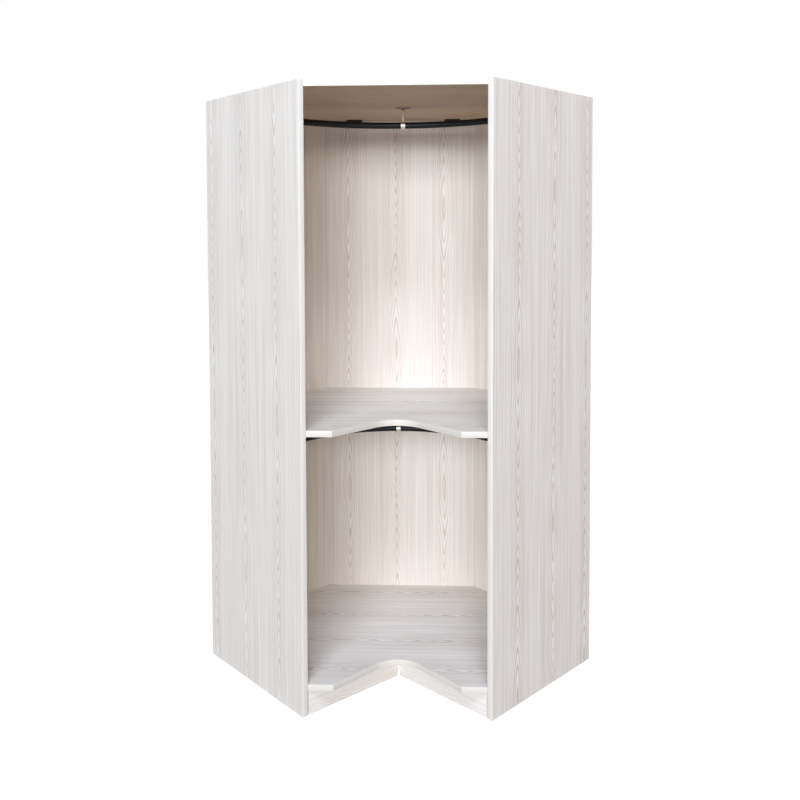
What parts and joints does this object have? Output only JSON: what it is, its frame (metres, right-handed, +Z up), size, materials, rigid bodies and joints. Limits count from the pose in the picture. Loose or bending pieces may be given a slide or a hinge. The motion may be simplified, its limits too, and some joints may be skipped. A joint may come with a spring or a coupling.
{
  "type": "corner wardrobe",
  "caption": "Open corner wardrobe: angled side panels, diagonal back, shelf and bottom with a notched front, V-shaped plinth and bent hanging rails above and below the shelf.",
  "frame": {"origin": "on the floor at the middle of the wardrobe's box", "axes": "+Z up, the open front faces -Y, the room's corner lies towards +Y, +X to the right seen from the front"},
  "size_m": [1.499, 0.8404, 2.2],
  "materials": {
    "whitewashed_wood": "whitewashed ash laminate, matt, grain along each board",
    "white_edge": "plain white edge band",
    "black_rail": "satin black",
    "black_plastic": "moulded black",
    "nickel": "warm nickel plating",
    "zinc": "bright zinc"
  },
  "bodies": {
    "root": {"bottom_bolt_left_back": "zinc", "bottom_bolt_left_front": "zinc", "bottom_bolt_right_back": "zinc", "bottom_bolt_right_front": "zinc", "bottom_cam_left_back": "zinc", "bottom_cam_left_front": "zinc", "bottom_cam_right_back": "zinc", "bottom_cam_right_front": "zinc", "bottom_panel": "whitewashed_wood", "bottom_panel_edge_band": "white_edge", "diagonal_back_panel": "whitewashed_wood", "left_back_panel": "whitewashed_wood", "left_corner_block": "black_plastic", "left_plinth": "whitewashed_wood", "left_plinth_bracket": "zinc", "left_side_edge_band": "white_edge", "left_side_panel": "whitewashed_wood", "lower_rail": "black_rail", "lower_rail_left_socket": "black_plastic", "lower_rail_right_socket": "black_plastic", "lower_support_plate": "nickel", "lower_support_post": "nickel", "lower_support_saddle": "nickel", "mid_shelf": "whitewashed_wood", "mid_shelf_edge_band": "white_edge", "plinth_corner_strip": "white_edge", "right_back_panel": "whitewashed_wood", "right_corner_block": "black_plastic", "right_plinth": "whitewashed_wood", "right_plinth_bracket": "zinc", "right_side_edge_band": "white_edge", "right_side_panel": "whitewashed_wood", "shelf_bolt_left_back": "zinc", "shelf_bolt_left_front": "zinc", "shelf_bolt_right_back": "zinc", "shelf_bolt_right_front": "zinc", "shelf_cam_left_back": "zinc", "shelf_cam_left_front": "zinc", "shelf_cam_right_back": "zinc", "shelf_cam_right_front": "zinc", "top_bolt_left_back": "zinc", "top_bolt_left_front": "zinc", "top_bolt_right_back": "zinc", "top_bolt_right_front": "zinc", "top_cam_left_back": "zinc", "top_cam_left_front": "zinc", "top_cam_right_back": "zinc", "top_cam_right_front": "zinc", "top_panel": "whitewashed_wood", "top_panel_edge_band": "white_edge", "upper_rail": "black_rail", "upper_rail_left_socket": "black_plastic", "upper_rail_right_socket": "black_plastic", "upper_support_plate": "nickel", "upper_support_post": "nickel", "upper_support_saddle": "nickel"}
  },
  "joints": []
}
